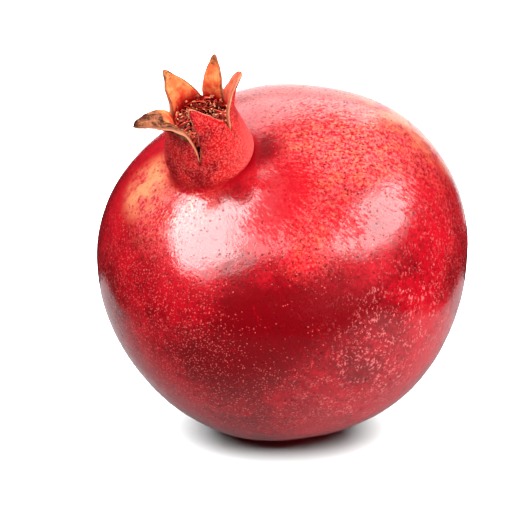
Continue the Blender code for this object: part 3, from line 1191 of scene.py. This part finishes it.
@dataclass(frozen=True)
class GrownSkinFinish:
    """The fruit's skin: waxy red rind, granular crown, orange lining and dry pale edges."""

    body: RoundBody
    deep_red: Colour = (0.150, 0.0002, 0.0024)
    bright_red: Colour = (0.40, 0.0022, 0.0095)
    dark_red: Colour = (0.100, 0.0022, 0.0028)
    salmon: Colour = (0.66, 0.115, 0.110)
    apricot: Colour = (0.70, 0.155, 0.085)
    yellow: Colour = (0.68, 0.23, 0.105)
    speckle: Colour = (0.58, 0.085, 0.075)
    dash: Colour = (0.62, 0.12, 0.12)
    prick: Colour = (0.085, 0.0005, 0.002)
    # Red of the hatching, and painted shade: the darker red band in the crease round the tube's foot.
    hatch_red_and_crease_shade: Colour = (0.34, 0.0015, 0.007)
    tube_dark: Colour = (0.20, 0.0015, 0.004)
    tube_red: Colour = (0.44, 0.006, 0.008)
    tube_speck: Colour = (0.60, 0.090, 0.080)
    # Pink of the painted light on the tube's right and top side.
    painted_light_pink: Colour = (0.56, 0.075, 0.070)
    lining: Colour = (0.78, 0.14, 0.046)
    lining_gold: Colour = (0.88, 0.31, 0.105)
    rose: Colour = (0.66, 0.135, 0.090)
    cup_painted_shade: Colour = (0.07, 0.002, 0.002)
    edge: Colour = (0.62, 0.22, 0.125)
    dry_brown: Colour = (0.045, 0.011, 0.007)
    dry_tan: Colour = (0.34, 0.115, 0.055)
    sunlit: tuple[Zone, ...] = (
        Zone(-0.765, -0.34, 0.56, 12.5, 1.7),
        Zone(0.66, 0.08, 0.76, 24, 0.9),
        Zone(0.45, 0.55, 0.70, 34, 0.7),
        Zone(-0.20, 0.95, 0.20, 36, 0.6),
    )
    blushed: tuple[Zone, ...] = (
        Zone(0.26, -0.47, 0.84, 28, 1.3),
        Zone(0.62, -0.32, 0.70, 25, 0.4),
        # Painted shade: no pale blush in the crease right of the tube.
        Zone(-0.13, -0.52, 0.85, 9, -0.9),
        Zone(0.12, -0.88, 0.42, 15, 0.6),
        Zone(-0.62, -0.58, 0.53, 18, 1.5),
        Zone(0.10, 0.40, 0.90, 38, 0.8),
        Zone(-0.60, 0.70, 0.35, 36, 0.7),
    )
    # Zones where the tone turns a darker crimson: round the lower front, on the left side, at the back
    # and in the crease right of the tube.
    ripe: tuple[Zone, ...] = (
        Zone(-0.05, -1.0, -0.12, 24, 1.1),
        Zone(-0.48, -0.86, -0.24, 19, 1.1),
        Zone(0.38, -0.91, 0.0, 25, 1.3),
        Zone(-0.15, -0.96, -0.30, 20, 0.5),
        Zone(-0.92, -0.35, 0.0, 24, 0.6),
        # Painted shade in the crease right of the tube.
        Zone(-0.13, -0.52, 0.85, 8, 0.7),
        Zone(0.70, 0.70, -0.15, 34, 0.8),
    )
    freckled: tuple[Zone, ...] = (
        Zone(-0.76, -0.64, -0.02, 32, 1.3),
        Zone(-0.50, -0.78, -0.36, 28, 1.1),
        Zone(0.90, -0.40, 0.10, 24, 0.5),
        Zone(0.00, -0.75, -0.66, 30, 0.8),
        Zone(-0.85, -0.45, 0.28, 18, 0.7),
        Zone(0.10, 0.85, -0.50, 40, 0.9),
        Zone(-0.36, -0.72, 0.60, 17, -1.2),
        Zone(0.14, -0.88, 0.42, 17, 0.8),
    )
    dashed: tuple[Zone, ...] = (
        Zone(0.60, -0.80, -0.12, 26, 1.7),
        Zone(0.38, -0.78, -0.50, 26, 1.2),
        Zone(0.80, -0.50, 0.40, 22, 0.7),
        Zone(-0.80, 0.55, -0.20, 34, 0.8),
    )
    hatched: tuple[Zone, ...] = (
        Zone(-0.06, -0.84, 0.53, 15, 1.2),
        Zone(0.02, -0.70, 0.71, 13, 1.1),
        Zone(-0.66, -0.60, 0.45, 9, 0.9),
        Zone(0.30, -0.84, 0.45, 12, 0.9),
        Zone(0.68, -0.52, 0.52, 15, 0.8),
        Zone(0.20, -0.30, 0.93, 20, 0.6),
    )
    # Zones on the tube's right and top side, where painted light makes it pinker.
    rosy: tuple[Zone, ...] = (
        Zone(-0.10, -0.50, 1.0, 20, 1.5),
        Zone(-0.10, -0.25, 1.0, 14, 0.8),
    )
    bench: Bench = field(default_factory=lambda: Bench("grown_skin"))

    @cached_property
    def grid(self) -> Signal:
        """Places on the skin, in millimetres."""
        return self.bench.grid()

    @cached_property
    def flow(self) -> Signal:
        """Places that run with the fruit's growth, round the crown and away from it."""
        return self.bench.value("flow", "Vector")

    def area(self, zones: tuple[Zone, ...], least: float = 0.0) -> Signal:
        """Add up some soft zones.

        Args:
            zones: The zones.
            least: The value outside them.

        Returns:
            How far inside the zones each place is.
        """
        total: Signal | float = least
        for zone in zones:
            middle = self.body.point(Vector((zone.x, zone.y, zone.z)).normalized(), 0.0)
            total = self.grid.ball(middle, zone.radius) * zone.strength + total
        return total

    def ragged(self) -> Signal:
        """Shift places a little by noise, so that what is drawn there gets a ragged outline.

        Returns:
            The shifted places.
        """
        shift = self.bench.node("TexNoise", "Color", {"Vector": self.grid, "Scale": 1.1, "Detail": 3})
        inputs = {0: shift, 1: (1, 1, 1), 2: self.grid}
        return self.bench.node("VectorMath", "Vector", inputs, operation="MULTIPLY_ADD")

    def ground(self) -> Signal:
        """Colour the rind from deep crimson to bright red, with pale and yellow blushes.

        Returns:
            The ground colour.
        """
        blend, grid = self.bench.blend, self.grid
        mottle = grid.stretched(1.0, 0.6, 1.0).noise(0.72, 5, 0.72)
        streaks = self.flow.stretched(36, 36, 36).noise(1.0, 5, 0.75)
        sunlit, blushed = self.area(self.sunlit), self.area(self.blushed)
        tone = grid.noise(20, 5, 0.60) + mottle * 0.5 + streaks * 0.3
        # The ripe zones darken the tone; in the crease right of the tube that darkening is painted
        # shade.
        tone = tone - self.area(self.ripe) * 0.20 + blushed * 0.22
        colour = blend(tone.span(0.68, 1.02), self.deep_red, self.bright_red)
        stained = grid.noise(6, 6, 0.75).span(0.46, 0.72) * 0.4
        stained = (stained * self.area(self.freckled, 0.15)).clamped()
        colour = blend(stained, colour, self.dark_red)
        shade = grid.noise(2.6, 6, 0.75).span(0.50, 0.68) * 0.5
        colour = blend(shade, colour, self.dark_red)
        pale = (mottle + streaks * 0.4).span(0.58, 0.86)
        pale = (pale * (blushed + sunlit * 0.6)).clamped()
        warm = grid.noise(3.5, 4, 0.65).span(0.46, 0.62)
        colour = blend(pale, colour, blend(warm, self.salmon, self.apricot))
        gold = (grid.noise(7, 5, 0.65).span(0.36, 0.60) * sunlit).clamped()
        return blend(gold, colour, self.yellow)

    def rind(self) -> Signal:
        """Colour the rind with all its marks.

        Returns:
            The rind's colour.
        """
        blend, ragged = self.bench.blend, self.ragged()
        clusters = self.grid.noise(3.6, 3, 0.6).span(0.40, 0.60)
        many = self.area(self.freckled, 0.04) * (clusters + 0.35)
        fine = ragged.dots(0.55, 0.31, many * 1.9, 0.7)
        colour = blend(fine * 0.85, self.ground(), self.speckle)
        coarse = ragged.dots(0.95, 0.40, many * 0.6, 0.9)
        colour = blend(coarse * 0.75, colour, self.speckle)
        dashes = ragged.stretched(1.1, 0.9, 0.75).noise(0.78, 4, 0.72).span(0.54, 0.60)
        dashes = (dashes * (self.area(self.dashed) * clusters)).clamped()
        colour = blend(dashes * 0.85, colour, self.dash)
        return blend(self.pricks() * 0.9, colour, self.prick)

    def pricks(self) -> Signal:
        """Mark the small dark pores, thickest where the rind is blushed."""
        return self.ragged().dots(0.80, 0.50, self.area(self.blushed, 0.35) * 0.6, 0.7)

    def hatching(self) -> Signal:
        """Mark the short red hatching that runs out from the crown over the shoulder."""
        lines = self.flow.stretched(52, 52, 24).noise(1.0, 5, 0.75)
        return (lines + self.area(self.hatched) * 0.19).span(0.58, 0.68)

    def crown(self) -> Signal:
        """Colour the outside of the tube and sepals.

        Returns:
            The crown's outer colour.
        """
        blend = self.bench.blend
        clouds = self.grid.noise(6, 4, 0.6)
        grain = self.ragged().noise(0.48, 4, 0.75)
        colour = blend(clouds.span(0.38, 0.58), self.tube_dark, self.tube_red)
        # Painted light: the tube turns pinker on its right and top side, where the light falls.
        colour = blend((self.area(self.rosy) * 0.7).clamped(), colour, self.painted_light_pink)
        specks = grain.span(0.48, 0.60) * clouds.span(0.20, 0.55)
        colour = blend(specks * 0.8, colour, self.tube_speck)
        dots = self.ragged().dots(0.6, 0.30, 0.3, 0.9)
        colour = blend(dots * 0.35, colour, self.tube_speck)
        return blend(grain.span(0.45, 0.34) * 0.55, colour, self.prick)

    def lined(self, crown: Signal) -> Signal:
        """Colour the inside of the sepals and the cup.

        Args:
            crown: How far up the crown a place is.

        Returns:
            The lining's colour.
        """
        blend = self.bench.blend
        fibres = self.flow.stretched(60, 60, 11).noise(1.0, 4, 0.7)
        clouds = self.grid.noise(2.2, 4, 0.65)
        colour = blend(clouds.span(0.36, 0.68), self.lining, self.lining_gold)
        colour = blend(fibres.span(0.52, 0.68) * 0.6, colour, self.tube_red)
        rosy = self.bench.value("rosy") * fibres.span(0.3, 0.6, 1.0, 0.7)
        colour = blend(rosy, colour, self.rose)
        rise = crown + clouds * 0.5
        colour = blend(rise.span(2.20, 2.75), self.tube_red, colour)
        # Painted shade: the lining turns a near-black red deep in the cup.
        return blend(rise.span(1.7, 2.25), self.cup_painted_shade, colour)

    def dried(self, colour: Signal, inside: Signal) -> Signal:
        """Wither the tips and line the free edges.

        Args:
            colour: The colour of the fresh skin.
            inside: 1 on the lining and 0 outside.

        Returns:
            The colour with dry tips and edges.
        """
        blend = self.bench.blend
        wrinkle = self.grid.noise(0.8, 4, 0.7)
        patches = self.grid.noise(2.0, 5, 0.72)
        withered = blend(patches.span(0.38, 0.62), self.dry_brown, self.dry_tan)
        dryness = self.bench.value("dry") + wrinkle * 0.9
        colour = blend(dryness.span(0.85, 1.25), colour, withered)
        margin = self.bench.value("margin") + wrinkle * 0.5
        line = margin.span(0.84, 1.0) * patches.span(0.38, 0.6, 0.95, 0.4)
        colour = blend(line, colour, self.dry_brown)
        return blend(margin.span(1.0, 1.14) * (1.0 - inside * 0.75), colour, self.edge)

    def relief(self, pricks: Signal) -> Signal:
        """Raise the rind's faint swells and grain, and sink its pores.

        Args:
            pricks: 1 in a pore and 0 elsewhere.

        Returns:
            The bumped normal.
        """
        swell, grain = self.grid.noise(3.4, 3, 0.5), self.grid.noise(0.8, 3, 0.6)
        return (swell * 1.5 + grain * 0.6 - pricks * 0.35).bump(0.07 * MM)

    def make(self) -> bpy.types.Material:
        """Lay out the skin's nodes.

        Returns:
            The material.
        """
        blend, value = self.bench.blend, self.bench.value
        crown, inside = value("crown"), value("inside")
        pricks, hatches = self.pricks(), self.hatching()
        grain = self.grid.noise(1.0, 4, 0.7)
        colour = blend(hatches * 0.85, self.rind(), self.hatch_red_and_crease_shade)
        reach = self.bench.node("SeparateXYZ", "Z", {"Vector": self.flow})
        near = reach - grain * 0.08
        # Painted shade: a darker red band on the rind round the tube's foot, in the crease.
        colour = blend(near.span(0.18, 0.27, 0.85, 0.0), colour, self.hatch_red_and_crease_shade)
        foot = crown + grain * 0.9 - 0.45
        colour = blend(foot.span(0.30, 1.0), colour, self.crown())
        colour = blend(inside, colour, self.lined(crown))
        colour = self.dried(colour, inside)
        wax = (1.0 - pricks * 0.6 - hatches * 0.8) * foot.span(0.12, 0.5, 1.0, 0.04)
        wax = (wax * near.span(0.200, 0.232)).clamped()
        normal = self.relief(pricks)
        return self.bench.finish(
            Base_Color=colour,
            Roughness=crown.span(0.0, 0.3, 0.5, 0.75) + grain.span(0.3, 0.7, -0.05, 0.10),
            Normal=normal,
            IOR=1.45,
            Specular_IOR_Level=0.02,
            Coat_Weight=wax,
            Coat_Roughness=0.145,
            Coat_IOR=1.5,
            Coat_Normal=normal,
        )


@dataclass(frozen=True)
class DriedStamenFinish:
    """Dried filaments, dark red to brown, with tan anthers on their ends."""

    filament: Colour = (0.20, 0.004, 0.003)
    filament_pale: Colour = (0.80, 0.050, 0.018)
    anther: Colour = (0.85, 0.38, 0.13)
    anther_dark: Colour = (0.16, 0.03, 0.012)

    def make(self) -> bpy.types.Material:
        """Lay out the stamens' nodes.

        Returns:
            The material.
        """
        bench = Bench("dried_stamens")
        grain = bench.grid().noise(0.35, 3, 0.6)
        tone = bench.value("tone").span(0.2, 1.0)
        thread = bench.blend(tone, self.filament, self.filament_pale)
        head = bench.blend(grain.span(0.35, 0.65), self.anther_dark, self.anther)
        return bench.finish(
            Base_Color=bench.blend(bench.value("ripe").span(0.05, 0.4), thread, head),
            Roughness=grain.span(0.3, 0.7, 0.45, 0.7),
            Normal=grain.bump(0.04 * MM),
        )


@dataclass(frozen=True)
class BarkFinish:
    """Grey-brown bark with a paler clipped end."""

    dark: Colour = (0.085, 0.045, 0.022)
    pale: Colour = (0.33, 0.22, 0.13)

    def make(self) -> bpy.types.Material:
        """Lay out the bark's nodes.

        Returns:
            The material.
        """
        bench = Bench("stalk_bark")
        grid = bench.grid()
        grain, fine = grid.noise(0.9, 5, 0.7), grid.noise(0.25, 3, 0.6)
        colour = bench.blend(grain.span(0.38, 0.64), self.dark, self.pale)
        return bench.finish(
            Base_Color=bench.blend(fine.span(0.5, 0.7) * 0.5, colour, self.dark),
            Roughness=fine.span(0.3, 0.7, 0.7, 0.9),
            Normal=(grain + fine * 0.4).bump(0.2 * MM),
        )


class Outline(Enum):
    """The outline of a light's face."""

    SQUARE = "RECTANGLE"
    OVAL = "ELLIPSE"


class Lit(Enum):
    """What a light falls on."""

    FRUIT = "EXCLUDE"
    FLOOR = "INCLUDE"


@dataclass
class Softbox:
    """One soft light of the studio, seen from the middle of the fruit."""

    name: str
    direction: tuple[float, float, float]
    width: float
    height: float
    radiance: float
    distance: float = 0.8
    outline: Outline = Outline.SQUARE
    shine: bool = True
    glow: bool = True
    lit: Lit = Lit.FRUIT
    roll: float = 0.0

    def build(self, middle: Vector) -> bpy.types.Object:
        """Hang the light.

        Args:
            middle: What the light faces.

        Returns:
            The light's object.
        """
        light = bpy.data.lights.new(self.name, "AREA")
        light.shape = self.outline.value
        light.size, light.size_y = self.width, self.height
        filled = math.pi / 4 if self.outline is Outline.OVAL else 1.0
        light.energy = self.radiance * math.pi * self.width * self.height * filled
        lamp = added(self.name, light)
        towards = Vector(self.direction).normalized()
        lamp.location = middle + towards * self.distance
        lamp.rotation_mode = "QUATERNION"
        rolled = Quaternion((0, 0, 1), math.radians(self.roll))
        lamp.rotation_quaternion = towards.to_track_quat("Z", "Y") @ rolled
        lamp.visible_camera = False
        lamp.visible_glossy = self.shine
        lamp.visible_diffuse = self.glow
        return lamp


@dataclass
class Studio:
    """The pale floor, the white room, the soft lights and the camera."""

    body: RoundBody
    elevation: float = math.radians(16)
    distance: float = 0.70
    lens: float = 189.3
    aim_right: float = -7.6 * MM
    aim_up: float = 2.8 * MM
    floor_size: float = 6.0
    floor_gap: float = 0.05 * MM
    table_edge: float = 115 * MM
    table_width: float = 0.26
    table_right: float = -5 * MM
    table_depth: float = 0.235
    floor_colour: Colour = (0.22, 0.22, 0.22)
    # Painted shade and light on the table top, from its front left to its back right.
    table_painted_shade: Colour = (0.06, 0.06, 0.065)
    table_painted_light: Colour = (0.38, 0.37, 0.38)
    room_glow: float = 0.02
    lights: tuple[Softbox, ...] = (
        Softbox("left_core", (-0.676, -0.246, 0.695), 0.70, 0.52, 11.0, 0.79, glow=False, roll=-42),
        Softbox("left_shine", (-0.600, -0.340, 0.720), 0.98, 0.76, 5.0, glow=False, roll=-30),
        Softbox("right_core", (0.670, -0.352, 0.655), 1.05, 0.38, 7.0, 0.79, Outline.OVAL, glow=False),
        Softbox("right_shine", (0.670, -0.352, 0.655), 1.45, 0.58, 2.6, 0.8, Outline.OVAL, glow=False),
        Softbox("upper_back_shine", (-0.06, 0.72, 0.69), 1.12, 0.56, 3.0, 1.2, glow=False),
        Softbox("lower_back_shine", (0.12, 0.98, 0.15), 0.80, 0.92, 1.4, 1.2, glow=False),
        Softbox("left_glow", (-0.60, -0.40, 0.69), 1.1, 1.1, 4.1, shine=False),
        Softbox("right_glow", (0.75, -0.40, 0.53), 0.9, 0.9, 3.3, shine=False),
        Softbox("front_glow", (0.50, -0.85, 0.00), 0.8, 0.5, 6.2, shine=False),
        Softbox("top_glow", (0.05, 0.2, 0.98), 2.2, 2.2, 1.1, 1.0, shine=False),
        Softbox("floor_glow", (0.0, 0.0, 1.0), 2.4, 2.4, 32.0, 0.8, shine=False, lit=Lit.FLOOR),
    )

    def sheet(self, name: str, width: float, depth: float, middle: Vector) -> bpy.types.Object:
        """Lay a level sheet.

        Args:
            name: Its name.
            width: Its width from side to side.
            depth: Its depth from front to back.
            middle: Where its middle lies.

        Returns:
            The sheet's object.
        """
        mesh = bmesh.new()
        bmesh.ops.create_grid(mesh, x_segments=1, y_segments=1, size=0.5)
        size = Matrix.Diagonal((width, depth, 1, 1))
        bmesh.ops.transform(mesh, matrix=Matrix.Translation(middle) @ size, verts=mesh.verts)
        data = bpy.data.meshes.new(name)
        mesh.to_mesh(data)
        mesh.free()
        piece = added(name, data)
        return piece

    def build_floor(self) -> bpy.types.Object:
        """Lay the pale floor, and under it the small table top that the shine shows.

        Returns:
            The floor.
        """
        middle = Vector((0, -self.table_edge, -self.floor_gap / 2))
        floor = self.sheet("floor", self.floor_size, self.floor_size, middle)
        matt = {"Roughness": 0.6, "Specular_IOR_Level": 0.0}
        pale = Bench("pale_floor").finish(Base_Color=self.floor_colour, **matt)
        floor.data.materials.append(pale)
        floor.visible_diffuse = floor.visible_glossy = floor.visible_shadow = False
        middle = Vector((self.table_right, self.table_depth / 2 - self.table_edge, -self.floor_gap))
        table = self.sheet("table", self.table_width, self.table_depth, middle)
        bench = Bench("table_top")
        right = bench.node("SeparateXYZ", "X", {"Vector": bench.grid()})
        slope = right * 0.7 + right.beside("Y")
        # Painted shade and light: the table top runs from dark at the front left to pale at the back
        # right, and the fruit's lower half reflects it.
        shade = bench.blend(slope.span(-95, -15), self.table_painted_shade, self.table_painted_light)
        table.data.materials.append(bench.finish(Base_Color=shade, **matt))
        table.visible_camera = table.visible_shadow = False
        return floor

    def build_room(self) -> None:
        """Set the white room, which lights the fruit only faintly."""
        world = bpy.data.worlds.new("white_room")
        bpy.context.scene.world = world
        world.use_nodes = True
        tree = world.node_tree
        seen, faint = tree.nodes["Background"], tree.nodes.new("ShaderNodeBackground")
        for shade, strength in ((seen, 1.0), (faint, self.room_glow)):
            shade.inputs["Color"].default_value = (1, 1, 1, 1)
            shade.inputs["Strength"].default_value = strength
        path = tree.nodes.new("ShaderNodeLightPath")
        mix = tree.nodes.new("ShaderNodeMixShader")
        tree.links.new(path.outputs["Is Camera Ray"], mix.inputs["Fac"])
        tree.links.new(faint.outputs["Background"], mix.inputs[1])
        tree.links.new(seen.outputs["Background"], mix.inputs[2])
        tree.links.new(mix.outputs["Shader"], tree.nodes["World Output"].inputs["Surface"])
        bpy.context.scene.view_settings.view_transform = "Standard"

    def build_camera(self) -> bpy.types.Object:
        """Stand the camera in front of the fruit, looking down on it a little.

        Returns:
            The camera's object.
        """
        away = Vector((0, -math.cos(self.elevation), math.sin(self.elevation)))
        upward = Vector((0, math.sin(self.elevation), math.cos(self.elevation)))
        aim = self.body.centre + Vector((self.aim_right, 0, 0)) + upward * self.aim_up
        camera = bpy.data.cameras.new("camera")
        camera.sensor_width = 36
        camera.lens = self.lens
        tripod = added("camera", camera)
        tripod.location = aim + away * self.distance
        tripod.rotation_mode = "QUATERNION"
        tripod.rotation_quaternion = away.to_track_quat("Z", "Y")
        bpy.context.scene.camera = tripod
        return tripod

    def build(self) -> None:
        """Set up the whole studio."""
        floor = self.build_floor()
        self.build_room()
        for light in self.lights:
            lit = bpy.data.collections.new(light.name + "_lit")
            lit.objects.link(floor)
            lit.collection_objects[0].light_linking.link_state = light.lit.value
            light.build(self.body.centre).light_linking.receiver_collection = lit
        self.build_camera()
        LOG.info("studio: floor, room, %d lights and camera", len(self.lights))


def main() -> None:
    """Build the fruit piece by piece, then the studio, and log each piece's face count."""
    logging.basicConfig(level=logging.INFO, format="%(message)s")
    body = RoundBody()
    crown = CrownTube(body)
    skin = GrownSkinFinish(body).make()
    finished_piece("rind_and_crown", GrownSkin(body, crown).build(), skin, "rind", "fruit")
    dried = DriedStamenFinish().make()
    Stamens(crown).build(dried)
    Style(crown).build(dried)
    StalkStub(body).build(BarkFinish().make())
    Studio(body).build()


if __name__ == "__main__":
    main()
